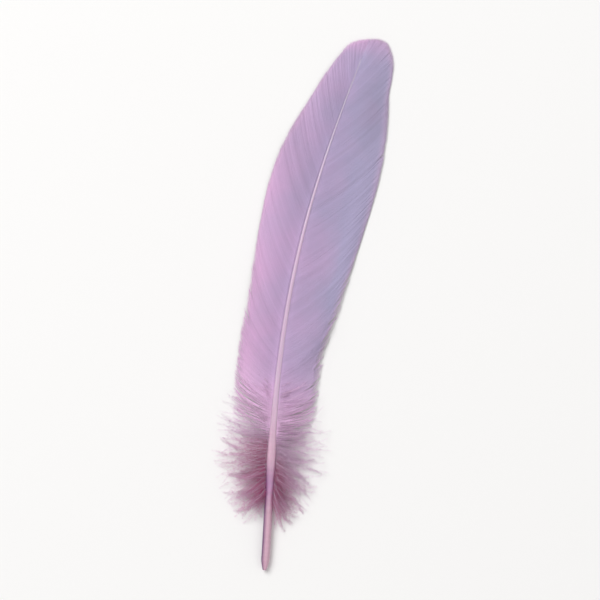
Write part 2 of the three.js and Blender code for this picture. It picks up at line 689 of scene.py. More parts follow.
@dataclass(frozen=True)
class HornFinish:
    """The shaft's dyed horn: rosy at the quill, pale along the rib, lilac where it thins to a thread.

    The quill is a deeper lilac among the down. Its flanks are dimmer than its top, partly deeper dye
    and partly painted shade on the sides of the round tube. Its grains are in patches to a millimetre
    of the shaft laid straight.
    """

    quill: Tint = (212, 172, 190)
    rib: Tint = (210, 181, 206)
    deep_lilac: Tint = (172, 118, 176)
    thread: Tint = (198, 182, 206)
    dye_and_shade_flank: Tint = (102, 60, 106)
    streak: Grain = Grain(0.26, 4.0, (6.0, 0.35, 6.0))
    streak_contrast: float = 0.3
    flank_evenness: float = 0.35
    band: Grain = Grain(0.5, 3.0, (0.25, 1.6, 0.25))
    band_contrast: float = 0.24
    band_height: float = 0.5
    fibre: Grain = Grain(0.9, 3.0, (5.0, 0.2, 5.0))
    roughness: float = 0.42
    roughness_swing: float = 0.4
    bump_strength: float = 0.5
    bump_height: float = 0.0001
    coat: float = 0.4
    coat_roughness: float = 0.2
    depth: float = 0.4
    depth_reach: Triple = (0.0012, 0.0007, 0.001)

    def material(self) -> bpy.types.Material:
        """Makes the finish.

        The colours follow each other along the shaft, and the flanks are dimmed towards a deep purple,
        partly deeper dye and partly painted shade on the round tube's sides. Fine streaks and fibres run
        lengthwise, faint bands run across the quill, and some light wanders through the horn.

        Returns:
            The material.
        """
        sheet = NodeSheet("dyed_horn")
        colour = linear(self.quill)
        for name, tint in (("rib", self.rib), ("deep_lilac", self.deep_lilac), ("thread", self.thread)):
            colour = sheet.tints(sheet.value(name), colour, linear(tint))
        place = sheet.place("aside", "along", "above")
        streak, band, fibre = (sheet.noise(grain, place) for grain in (self.streak, self.band, self.fibre))
        # Painted shade together with deeper dye: the flanks' value mixes the deep purple into the sides of
        # the shaft
        patchy = sheet.math("ADD", streak, self.flank_evenness)
        dye_and_shade_flank = sheet.math("MULTIPLY", sheet.value("dye_and_shade_flank"), patchy, clamp=True)
        colour = sheet.tints(dye_and_shade_flank, colour, linear(self.dye_and_shade_flank))
        bare = sheet.math("SUBTRACT", 1.0, sheet.value("rib"))
        bands = sheet.math("MULTIPLY", sheet.swing(band, self.band_contrast), bare)
        brightness = sheet.total(sheet.swing(streak, self.streak_contrast), 1.0, bands)
        sheet.dress(
            {
                "Base Color": sheet.shade(colour, brightness),
                "Roughness": sheet.total(sheet.swing(fibre, self.roughness_swing), self.roughness),
                "Coat Weight": self.coat,
                "Coat Roughness": self.coat_roughness,
                "Subsurface Weight": self.depth,
                "Subsurface Radius": self.depth_reach,
                "Subsurface Scale": 1.0,
            }
        )
        ridges = sheet.total(fibre, sheet.math("MULTIPLY", band, self.band_height))
        sheet.bump(ridges, self.bump_strength, self.bump_height)
        return sheet.material


@dataclass(frozen=True)
class FluffFinish:
    """The dyed down: deep mauve near the shaft, paler towards the ends of its barbs."""

    deep: Tint = (229, 130, 184)
    light: Tint = (249, 225, 245)
    cloud: Grain = Grain(160.0, 3.0)
    cloud_contrast: float = 0.7
    strand_contrast: float = 0.06
    roughness: float = 0.75
    sheen: float = 0.4
    specular: float = 0.25
    seen_through: float = 0.45

    def material(self) -> bpy.types.Material:
        """Makes the finish.

        Strands pale from the shaft to the ends of their barbs, with patches that took more dye, and some
        light comes through them.

        Returns:
            The material.
        """
        sheet = NodeSheet("dyed_fluff")
        cloud = sheet.swing(sheet.noise(self.cloud), self.cloud_contrast)
        share = sheet.math("ADD", sheet.value("pale"), cloud, clamp=True)
        colour = sheet.tints(share, linear(self.deep), linear(self.light))
        strands = sheet.math("MULTIPLY", sheet.value("tone"), self.strand_contrast)
        colour = sheet.shade(colour, sheet.total(strands, 1.0))
        sheet.dress(
            {
                "Base Color": colour,
                "Roughness": self.roughness,
                "Sheen Weight": self.sheen,
                "Specular IOR Level": self.specular,
            }
        )
        sheet.let_light_through(colour, self.seen_through)
        return sheet.material


def make_piece(
    node: str, parts: MeshParts, form: FeatherForm, material: bpy.types.Material
) -> bpy.types.Object:
    """Puts parts into a smooth mesh object at the origin, and lets it stand for a node of the frame.

    Args:
        node: The node that it replaces.
        parts: What it is made of.
        form: The form that places it in the frame.
        material: Its finish.

    Returns:
        The new piece.
    """
    name = "feather_" + node
    mesh = bpy.data.meshes.new(name)
    count = len(parts.faces)
    mesh.vertices.add(len(parts.points))
    mesh.vertices.foreach_set("co", form.in_frame(parts.points).astype(np.float32).ravel())
    mesh.loops.add(3 * count)
    mesh.loops.foreach_set("vertex_index", parts.faces.astype(np.int32).ravel())
    mesh.polygons.add(count)
    mesh.polygons.foreach_set("loop_start", np.arange(0, 3 * count, 3, dtype=np.int32))
    mesh.update(calc_edges=True)
    layer = mesh.uv_layers.new(name=BAKE_MAP)
    layer.uv.foreach_set("vector", parts.bake.astype(np.float32).ravel())
    for value_name, values in parts.values.items():
        attribute = mesh.attributes.new(value_name, "FLOAT", "POINT")
        attribute.data.foreach_set("value", values.astype(np.float32))
    mesh.shade_smooth()
    mesh.materials.append(material)
    piece = add_object(name, mesh)
    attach(piece, BODY)
    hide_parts(node)
    return piece


@dataclass
class Shaft:
    """The quill and the rib that it thins into. Stretches of it are in millimetres from the quill's end."""

    form: FeatherForm
    finish: HornFinish = HornFinish()
    stations: int = 230
    around: int = 28
    # Rings that turn into the quill's end: how deep they lie and their share of the end's width
    dimple: tuple[Span, ...] = ((0.7, 0.3), (0.3, 0.55), (0.0, 0.8))
    rib_stretch: Span = (26.0, 62.0)
    rib_height: float = 1.12
    squarer_stretch: Span = (20.0, 38.0)
    squareness: float = 0.72
    groove_depth: float = 0.34
    groove_width: float = 0.42
    thread_start: float = 95.0
    thread_length: float = 4.5
    # A deeper lilac band on the quill where the down lies over it
    deep_lilac_middle: float = 27.0
    deep_lilac_spread: float = 5.5
    deep_lilac_strength: float = 0.6
    # How much the flanks are dimmed at the quill and along the rib, partly deeper dye and partly painted
    # shade on the tube's sides, how narrow the dimmed band is there, and how much of it the right side
    # takes, less there since the key lamp already shades it
    flank_stretch: Span = (24.0, 37.0)
    flank_dye_and_shade: Span = (1.5, 0.2)
    flank_narrowness: Span = (1.4, 3.0)
    flank_right: float = 0.12

    def rings(self) -> tuple[Array, dict[str, Array]]:
        """Carries the shaft's section along its centre line.

        The section is a circle at the quill. Further on it grows squarer, by raising the sine and the
        cosine to a power under 1, and along the rib a groove presses into its underside. The first rings
        turn inwards to leave a small dimple in the quill's end.

        Returns:
            The rings, and the point values that the finish reads.
        """
        inner = np.array(self.dimple)
        y = np.concatenate([inner[:, 0], np.linspace(0.0, self.form.shaft_end, self.stations)])[:, None]
        scale = np.concatenate([inner[:, 1], np.ones(self.stations)])[:, None]
        turn = turns(self.around)[None]
        rib = ease(*self.rib_stretch, y)
        power = mix(1.0, self.squareness, ease(*self.squarer_stretch, y))
        cosine, sine = np.cos(turn), np.sin(turn)
        flat = np.sign(cosine) * np.abs(cosine) ** power
        high = np.sign(sine) * np.abs(sine) ** power * mix(1.0, self.rib_height, rib)
        groove = self.groove_depth * rib * bell(flat / self.groove_width) * (sine < 0.0)
        half = scale * self.form.width(np.where(scale < 1.0, 0.0, y)) / 2.0
        sideways = self.form.across(y) * (flat * half)[..., None]
        upwards = UP * ((high + groove) * half)[..., None]
        # Painted shade with deeper dye on the sides of the round shaft, weaker on the right side
        dye_and_shade_flank = mix(*self.flank_dye_and_shade, ease(*self.flank_stretch, y))
        dye_and_shade_flank = dye_and_shade_flank * np.abs(flat) ** mix(*self.flank_narrowness, rib)
        values = {
            "aside": flat * half,
            "along": y,
            "above": high * half,
            "rib": rib,
            "thread": ease(self.thread_start, self.form.shaft_end, y),
            "deep_lilac": self.deep_lilac_strength * bell((y - self.deep_lilac_middle) / self.deep_lilac_spread),
            "dye_and_shade_flank": dye_and_shade_flank * np.where(flat > 0.0, self.flank_right, 1.0),
        }
        values = {name: np.broadcast_to(value, flat.shape) for name, value in values.items()}
        return self.form.centre(y) + sideways + upwards, values

    def build(self) -> bpy.types.Object:
        """Makes the shaft and dresses it.

        Returns:
            The piece.
        """
        rings, values = self.rings()
        root = rings[None, 0].mean(axis=1)
        tip = self.form.centre(np.array([self.form.shaft_end + self.thread_length]))
        parts = Strands(rings[None], root, tip, {}, columns=1).parts()
        for name, value in values.items():
            parts.values[name] = np.concatenate([value.ravel(), value[0, :1], value[-1, :1]])
        return make_piece("shaft", parts, self.form, self.finish.material())


@dataclass(frozen=True)
class Fringe:
    """Fine strands along both sides of barbs, each a thin spindle that bends forward halfway."""

    count: int
    reach: Span
    columns: int
    region: Region
    radius: float = 0.018
    slant: float = 0.6
    forward: Span = (0.15, 0.7)
    bend: float = 0.45
    sag: Span = (-0.3, 0.2)
    lengths: Span = (0.5, 1.15)
    first: float = 0.03
    tone_spread: float = 0.5
    floor_gap: float = 0.06
    around: int = 3

    def strands(
        self, paths: Array, values: dict[str, Array], scale: Array, rng: np.random.Generator
    ) -> Strands:
        """Grows the strands.

        A strand leaves its barb to one side or the other at some slant up or down, and half its length
        on it leans further forward. Strands shorten towards the barb's end.

        Args:
            paths: Points of the barbs, barb by ring.
            values: The barbs' point values, barb by ring.
            scale: How long each barb's strands are, as a share of the reach.
            rng: Where the random numbers come from.

        Returns:
            The strands, with their barb's values where they grow.
        """
        barbs, steps = len(paths), paths.shape[1] - 1
        shape = (barbs, self.count)
        place = np.sort(rng.uniform(self.first, 1.0, shape), axis=1)
        low = np.minimum((place * steps).astype(int), steps - 1)
        share = place * steps - low
        barb = np.arange(barbs)[:, None]
        step = paths[barb, low + 1] - paths[barb, low]
        root = paths[barb, low] + step * share[..., None]
        along = unit(step)
        level, upward = level_and_upward(along)
        which = np.where(np.arange(self.count) % 2, 1.0, -1.0)[None]
        slant = rng.normal(0.0, self.slant, shape)
        outward = level * (which * np.cos(slant))[..., None] + upward * np.sin(slant)[..., None]
        length = scale * mix(*self.reach, place) * rng.uniform(*self.lengths, shape)
        half = length[..., None] / 2.0
        forward = rng.uniform(*self.forward, shape)[..., None]
        middle = root + half * unit(outward + forward * along)
        sag = rng.uniform(*self.sag, shape)[..., None] * UP
        tip = middle + half * unit(outward + (forward + self.bend) * along + sag)
        root, middle, tip = (points.reshape(-1, 3) for points in (root, middle, tip))
        for points in (middle, tip):
            points[:, 2] = np.maximum(points[:, 2], self.floor_gap)
        spoke = unit(np.cross(tip - root, upward.reshape(-1, 3)))
        other = unit(np.cross(tip - root, spoke))
        turn = turns(self.around)[:, None]
        ring = spoke[:, None] * np.cos(turn) + other[:, None] * np.sin(turn)
        taken = {
            name: mix(value[barb, low], value[barb, low + 1], share).reshape(-1, 1)
            for name, value in values.items()
        }
        taken["tone"] = taken["tone"] + rng.normal(0.0, self.tone_spread, taken["tone"].shape)
        rings = (middle[:, None] + self.radius * ring)[:, None]
        return Strands(rings, root, tip, taken, columns=self.columns, region=self.region)


@dataclass
class Growth:
    """What grows along one side of the shaft, with random numbers of its own."""

    form: FeatherForm
    side: Side
    finish_material: bpy.types.Material
    seed: int
    rng: np.random.Generator = field(init=False)

    def __post_init__(self) -> None:
        """Seeds the random numbers."""
        self.rng = np.random.default_rng(self.seed)

    def roots(self, y: Array, share: float) -> Array:
        """Finds points beside the shaft's centre line, a share of its width out."""
        out = self.side.value * share * self.form.width(y)
        return self.form.centre(y) + self.form.across(y) * out[..., None]

    def make(self, slot: Slot, barbs: Strands, fringe: Strands) -> bpy.types.Object:
        """Joins barbs and their fringe into this side's piece.

        Args:
            slot: The slot that the piece's finish belongs to.
            barbs: The barbs.
            fringe: The fine strands along them.

        Returns:
            The piece.
        """
        parts = MeshParts.join([barbs.parts(), fringe.parts()])
        node = f"{slot.value}_{self.side.name.lower()}"
        return make_piece(node, parts, self.form, self.finish_material)


@dataclass(frozen=True)
class Split:
    """A place where the web has come unhooked: where it starts along the shaft, how wide, how far out."""

    grow: float
    gap: float
    opens_at: float


@dataclass(frozen=True)
class Blot:
    """A patch of the web: its middle and spread in plan, its pinker dye, and painted shade that dims it,
    painted light where negative.
    """

    x: float
    y: float
    spread_x: float
    spread_y: float
    pinker: float
    painted_darkening: float

    def shown(self, paths: Array) -> Array:
        """Works out how much of the patch shows: a bell curve of the distance from its middle."""
        across, along = (paths[..., 0] - self.x) / self.spread_x, (paths[..., 1] - self.y) / self.spread_y
        return np.exp(-(across**2) - along**2)


@dataclass(frozen=True)
class DyeRun:
    """How the dye runs over both vanes: pinker to the left, towards the quill and at the very tip."""

    base: float = 0.12
    breadth: float = 14.0
    less_right: float = 0.3
    more_left: float = 0.35
    more_low: float = 0.85
    low_power: float = 1.2
    more_tip: float = 0.45
    tip_from: float = 0.955

    def at(self, along: Array, off_shaft: Array) -> Array:
        """Reads the dye.

        Args:
            along: Shares of the feather's length.
            off_shaft: Distances to the right of the shaft in millimetres.

        Returns:
            A base, less a line to the right, plus a square to the left, a power of what is left to the
            quill and a climb at the tip.
        """
        aside = off_shaft / self.breadth
        left = self.more_left * np.maximum(-aside, 0.0) ** 2
        low = self.more_low * (1.0 - along) ** self.low_power
        tip = self.more_tip * ease(self.tip_from, 1.0, along)
        return self.base - self.less_right * aside + left + low + tip


@dataclass(frozen=True)
class WebTraits:
    """What differs between the vanes: where a vane starts, how frayed its edge is, painted light beside the
    shaft, and its splits and blots.
    """

    start: float
    fray: float
    root_painted_light: float
    splits: tuple[Split, ...]
    blots: tuple[Blot, ...]


@dataclass
class Vane(Growth):
    """The web of barbs on one side of the shaft, fringed with finer strands near the down.

    grow is how far along its stretch of shaft a barb grows, and out how far along the barb a ring lies,
    both 0 to 1.
    """

    traits: WebTraits
    barbs: int = 440
    rings: int = 22
    columns: int = 147
    region: Region = (0.0, 0.0, 1.0, 0.8)
    fringe: Fringe = Fringe(80, (1.3, 0.6), 220, (0.0, 0.8, 1.0, 1.0), radius=0.014, slant=0.35)
    # How close the barbs grow along their stretch of shaft, thin at the foot and thick just past it
    thickness_places: Places = (0.0, 0.02, 0.06, 0.14, 0.27, 1.0)
    thickness: Places = (0.15, 0.5, 1.3, 1.6, 1.1, 1.0)
    jitter: float = 0.18
    # How a barb runs from its root beside the shaft's centre line to the vane's edge
    root_out: float = 0.3
    edge_lead: float = 0.72
    foot_lead: float = 1.0
    foot_lead_until: float = 0.35
    bend: float = math.radians(12.0)
    bend_fade: float = 4.0
    camber: float = 1.7
    edge_height: float = 0.28
    floor_gap: float = 0.2
    # How high on the shaft the barbs grow along it, in shares of its width above the centre line
    root_lift_places: Places = (42.0, 62.0, 85.0, 110.0)
    root_lifts: Places = (0.34, 0.42, 0.4, 0.34)
    # A barb's section, in shares of the barbs' spacing across and millimetres up: a hooked sheet on each
    # side of a low ridge, over a keel
    section: tuple[Span, ...] = (
        *((0.5, 0.015), (0.13, 0.03), (0.0, 0.075)),
        *((-0.13, 0.03), (-0.5, -0.03), (0.0, -0.16)),
    )
    spacing_limits: Span = (0.2, 0.4)
    overlap: float = 1.25
    end_from: float = 0.92
    end_breadth: float = 0.3
    end_depth: float = 0.35
    end_point: float = 0.12
    # The barbs near the down: how far up they are loose, from how far out, and how they stray
    loose_until: float = 0.125
    loose_breadth: float = 0.12
    loose_out: Span = (0.2, 0.75)
    foot_loose_from: float = -1.2
    foot_loose_until: float = 0.06
    loose_sway: float = 0.5
    loose_waves: float = 1.3
    loose_slide: Span = (-3.0, 0.6)
    loose_lift: float = 0.6
    splayed_until: float = 0.11
    splay: Span = (-2.0, 6.5)
    splay_power: float = 1.4
    fringed_until: float = 0.2
    last_fringe: float = 0.35
    # The bundles that barbs draw together in
    bundle_sizes: tuple[int, int] = (6, 20)
    bundle_tilt: Span = (-0.02, 0.035)
    bundle_squeeze: float = 0.05
    bundle_opening: Span = (0.3, 0.85)
    bundle_raggedness: Span = (-0.3, 0.12)
    barb_raggedness: float = 0.05
    ragged_power: float = 5.0
    barb_lift: float = 0.03
    barb_lift_step: float = 2.5
    lift_power: float = 1.3
    loose_bundles: int = 16
    loose_bundle_sizes: tuple[int, int] = (3, 8)
    loose_squeeze: float = 0.2
    # The edge's slow waves, and how quickly a split closes along the edge and how far it dips
    wave_lift: float = 0.22
    wave_step: float = 17.0
    split_fade: float = 4.0
    split_dip: float = 0.35
    # Where the edge is frayed, in shares of the stretch, how far in it frays, and how far its ends stray
    fray_stretch: Places = (0.05, 0.1, 0.22, 0.34)
    fray_from: float = 0.74
    fray_slide: Span = (-0.5, 1.3)
    fray_sway: Span = (-0.1, 1.2)
    fray_lift: Span = (0.0, 0.4)
    fray_tuft: float = 2.2
    fray_thinness: float = 0.6
    # How the dye runs, what is paler: the barbs' ends and the loose barbs, and a band beside the shaft that
    # painted light brightens
    dye: DyeRun = DyeRun()
    tone_spread: float = 0.5
    tone_step: float = 6.0
    edge_paleness: float = 0.3
    edge_pale_from: float = 0.86
    fray_paleness: float = 0.35
    loose_paleness: float = 0.85
    foot_paleness: float = 0.5
    foot_pale_until: float = 0.07
    painted_light_width: float = 2.0
    painted_light_stretch: Places = (49.0, 58.0, 100.0, 164.0)
    grow: Array = field(init=False)
    out: Array = field(init=False)

    def __post_init__(self) -> None:
        """Spreads the barbs along the shaft, as thick as they grow there, and the rings along each barb."""
        super().__post_init__()
        jitter = self.rng.uniform(-self.jitter, self.jitter, self.barbs) / self.barbs
        jitter[[0, -1]] = 0.0
        even = shares(self.barbs) + jitter
        self.grow = spread_by(even, self.thickness_places, self.thickness)[:, None]
        self.out = shares(self.rings)[None]

    def plan_paths(self) -> Array:
        """Draws each barb from the shaft to the vane's edge.

        In plan a barb is a quadratic curve that leaves the shaft at a wider angle than it ends at. Barbs
        at the foot lean towards the tip less than the others. In height a barb falls from its root on
        the shaft to the floor by a power of the way out.

        Returns:
            Points of the barbs, barb by ring.
        """
        y = mix(self.traits.start, self.form.shaft_end, self.grow)
        root = self.roots(y, self.root_out)[..., :2]
        lead = mix(self.foot_lead, self.edge_lead, ease(0.0, self.foot_lead_until, self.grow))
        end = self.form.edge(self.side).at(self.grow**lead)
        reach_x, reach_y = np.moveaxis((end - root) / 2.0, -1, 0)
        turn = -self.side.value * self.bend * (1.0 - self.grow**self.bend_fade)
        cosine, sine = np.cos(turn), np.sin(turn)
        bent = np.stack([reach_x * cosine - reach_y * sine, reach_x * sine + reach_y * cosine], axis=-1)
        share = self.out[..., None]
        plan = root * (1.0 - share) ** 2 + 2.0 * (root + bent) * share * (1.0 - share) + end * share**2
        lift = np.interp(y, self.root_lift_places, self.root_lifts) * self.form.width(y)
        height = mix(self.form.centre(y)[..., 2] + lift, self.edge_height, self.out**self.camber)
        return np.concatenate([plan, height[..., None]], axis=-1)

    def directions(self, paths: Array) -> tuple[Array, Array, Array, Array]:
        """Finds how the web runs at each point of its barbs.

        Args:
            paths: The barbs' points.

        Returns:
            Unit vectors along the barbs, across them towards the tip, and up from the web, and the
            barbs' spacing.
        """
        along = unit(np.gradient(paths, axis=1))
        step = np.gradient(paths, axis=0)
        across = step - (step * along).sum(axis=-1, keepdims=True) * along
        spacing = np.linalg.norm(across, axis=-1)
        across = unit(across)
        return along, across, self.side.value * np.cross(along, across), spacing

    def per_barb(self, low: float, high: float) -> Array:
        """Draws a random number for each barb."""
        return self.rng.uniform(low, high, (self.barbs, 1))

    def bundle_shifts(self, spacing: Array, loose: Array) -> tuple[Array, Array, Array]:
        """Draws barbs together into bundles.

        Each bundle tilts like a shingle, shrinks a little towards its middle line, which opens hairlines
        between bundles, and ends a little short of the vane's edge or past it. Loose bundles are smaller
        and shrink more.

        Args:
            spacing: The barbs' spacing.
            loose: How loose each barb is, 0 to 1.

        Returns:
            How far each point moves along its barb, across it and up.
        """
        rank = np.arange(self.barbs)
        sizes = self.rng.integers(*self.bundle_sizes, self.barbs)
        sizes[: self.loose_bundles] = self.rng.integers(*self.loose_bundle_sizes, self.loose_bundles)
        bounds = np.cumsum(sizes)
        bundle = np.searchsorted(bounds, rank, side="right")
        low = np.concatenate([[0], bounds])[bundle]
        size = bounds[bundle] - low
        within = ((rank - low + HALF) / size - HALF)[:, None]
        tilt = self.per_barb(*self.bundle_tilt)[bundle]
        squeeze = self.bundle_squeeze * self.per_barb(0.0, 1.0)[bundle] ** 2 + self.loose_squeeze * loose
        opening = self.per_barb(*self.bundle_opening)[bundle]
        ragged = self.per_barb(*self.bundle_raggedness)[bundle]
        ragged = ragged + self.rng.normal(0.0, self.barb_raggedness, (self.barbs, 1))
        apart = -within * size[:, None] * squeeze * spacing * ease(opening, 1.0, self.out)
        fine = self.barb_lift * wander(self.rng, rank.astype(float), self.barb_lift_step)[:, None]
        lift = (2.0 * within * tilt + fine) * self.out**self.lift_power
        return ragged * self.out**self.ragged_power, apart, lift

    def frayed(self) -> Array:
        """Works out how frayed the web is: 0 where it is whole, up to 1 at ends that have come apart."""
        stretch = self.traits.fray * np.interp(self.grow, self.fray_stretch, RISE_AND_FALL)
        return stretch * ease(self.fray_from, 1.0, self.out)

    def fray_shifts(self) -> list[Array]:
        """Lets the ends of frayed barbs stray in small tufts.

        Returns:
            How far each point moves along its barb, across it and up.
        """
        rank = np.arange(self.barbs, dtype=float)
        ranges = (self.fray_slide, self.fray_sway, self.fray_lift)
        strays = [mix(*limits, HALF + HALF * wander(self.rng, rank, self.fray_tuft)) for limits in ranges]
        return [stray[:, None] * self.frayed() for stray in strays]

    def unsettle(self, paths: Array) -> tuple[Array, Array, Array, Array]:
        """Moves barbs out of their even order.

        Besides the bundles, the edge rises and falls in slow waves. Loose barbs near the down sway, end
        short, rise and splay back along the shaft. The web parts on both sides of a split, less and less
        away from it, and its frayed ends stray. Nothing sinks into the floor.

        Args:
            paths: The barbs' points.

        Returns:
            The moved points, unit vectors across the barbs and up from the web, and the spacing.
        """
        grow, out = self.grow, self.out
        along, across, up, spacing = self.directions(paths)
        stretch = self.form.shaft_end - self.traits.start
        loose = 1.0 - ease(0.0, self.loose_until, grow)
        slide, sway, lift = self.bundle_shifts(spacing, loose)
        wave = self.wave_lift + self.wave_lift * wander(self.rng, grow * stretch, self.wave_step)
        lift = lift + wave * out**2
        phase = self.per_barb(0.0, FULL_TURN)
        sway = sway + self.loose_sway * loose * np.sin(FULL_TURN * self.loose_waves * out + phase) * out
        slide = slide + loose * self.per_barb(*self.loose_slide) * out
        lift = lift + self.loose_lift * loose * self.per_barb(0.0, 1.0) * out
        foot = 1.0 - ease(0.0, self.splayed_until, grow)
        sway = sway - foot * self.per_barb(*self.splay) * out**self.splay_power
        for split in self.traits.splits:
            away = (grow - split.grow) * stretch
            part = np.where(away >= 0.0, HALF, -HALF) * np.exp(-np.abs(away) / self.split_fade)
            opened = split.gap * part * ease(split.opens_at, 1.0, out)
            sway = sway + opened
            lift = lift - self.split_dip * opened
        slide, sway, lift = (shift + stray for shift, stray in zip((slide, sway, lift), self.fray_shifts()))
        moved = paths + along * slide[..., None] + across * sway[..., None] + up * lift[..., None]
        moved[..., 2] = np.maximum(moved[..., 2], self.floor_gap)
        return moved, across, up, spacing

    def paleness(self) -> Array:
        """Works out what has paled: the ends of barbs, more so where they fray, and the loose barbs.

        Returns:
            0 to 1, barb by ring.
        """
        ends = self.edge_paleness * ease(self.edge_pale_from, 1.0, self.out)
        ends = ends + self.fray_paleness * self.frayed()
        loose = self.loose_paleness * (1.0 - ease(0.0, self.fringed_until, self.grow))
        loose = loose * mix(self.foot_paleness, 1.0, ease(0.0, self.foot_pale_until, self.grow))
        return np.maximum(ends, loose)

    def point_values(self, paths: Array) -> dict[str, Array]:
        """Works out what the finish reads.

        Args:
            paths: The barbs' points.

        Returns:
            Values by name, barb by ring: the dye with its blots, the painted shade and painted light of the
            blots and of the band beside the shaft, each barb's tone, the paleness, and the distance walked
            along each barb and the barb's number for the streaks.
        """
        y = paths[..., 1]
        off_shaft = paths[..., 0] - self.form.centre(y)[..., 0]
        dye = self.dye.at(y / self.form.length, off_shaft)
        # Painted light: brightens a band of the web beside the shaft
        strip = np.interp(y, self.painted_light_stretch, RISE_AND_FALL)
        painted_shading = -self.traits.root_painted_light * strip * bell(off_shaft / self.painted_light_width)
        # Each blot adds pinker dye, and painted shade that dims the web, painted light where its number is
        # negative
        for blot in self.traits.blots:
            dye = dye + blot.pinker * blot.shown(paths)
            painted_shading = painted_shading + blot.painted_darkening * blot.shown(paths)
        tone = self.rng.normal(0.0, self.tone_spread, (self.barbs, 1))
        tone = tone + wander(self.rng, self.grow * self.barbs, self.tone_step)
        steps = np.linalg.norm(np.diff(paths, axis=1), axis=-1)
        walk = np.concatenate([np.zeros((self.barbs, 1)), np.cumsum(steps, axis=1)], axis=1)
        rank = np.arange(self.barbs, dtype=float)[:, None]
        values = {"dye": dye, "painted_shading": painted_shading, "tone": tone, "pale": self.paleness(), "walk": walk, "rank": rank}
        return {name: np.broadcast_to(value, dye.shape) for name, value in values.items()}

    def breadth(self, spacing: Array) -> Array:
        """Works out how broad the barbs' hooked sheets are.

        Args:
            spacing: The barbs' spacing.

        Returns:
            A little more than the spacing, narrower on loose barbs, at barbs' ends and where they fray.
        """
        hooked = np.clip(spacing, *self.spacing_limits) * self.overlap
        inner, outer = self.loose_out
        inner = mix(self.foot_loose_from, inner, ease(0.0, self.foot_loose_until, self.grow))
        loose = (1.0 - ease(0.0, self.loose_until, self.grow)) * ease(inner, outer, self.out)
        ending = mix(1.0, self.end_breadth, ease(self.end_from, 1.0, self.out))
        return mix(hooked, self.loose_breadth, loose) * ending * (1.0 - self.fray_thinness * self.frayed())

    def build(self) -> bpy.types.Object:
        """Makes the vane and dresses it.

        Returns:
            The piece.
        """
        paths, across, up, spacing = self.unsettle(self.plan_paths())
        section = np.array(self.section)
        breadth = self.breadth(spacing)[..., None, None] * section[:, 0, None]
        depth = mix(1.0, self.end_depth, self.out)[..., None, None] * section[:, 1, None]
        values = self.point_values(paths)
        web = Strands(
            paths[:, :, None] + across[:, :, None] * breadth + up[:, :, None] * depth,
            paths[:, 0],
            past_end(paths, self.end_point),
            values,
            columns=self.columns,
            region=self.region,
            mirrored=self.side is Side.LEFT,
        )
        fringed = self.grow[:, 0] < self.fringed_until
        fringed_values = {name: value[fringed] for name, value in values.items()}
        scale = mix(1.0, self.last_fringe, self.grow[fringed] / self.fringed_until)
        fuzz = self.fringe.strands(paths[fringed], fringed_values, scale, self.rng)
        return self.make(Slot.VANE, web, fuzz)


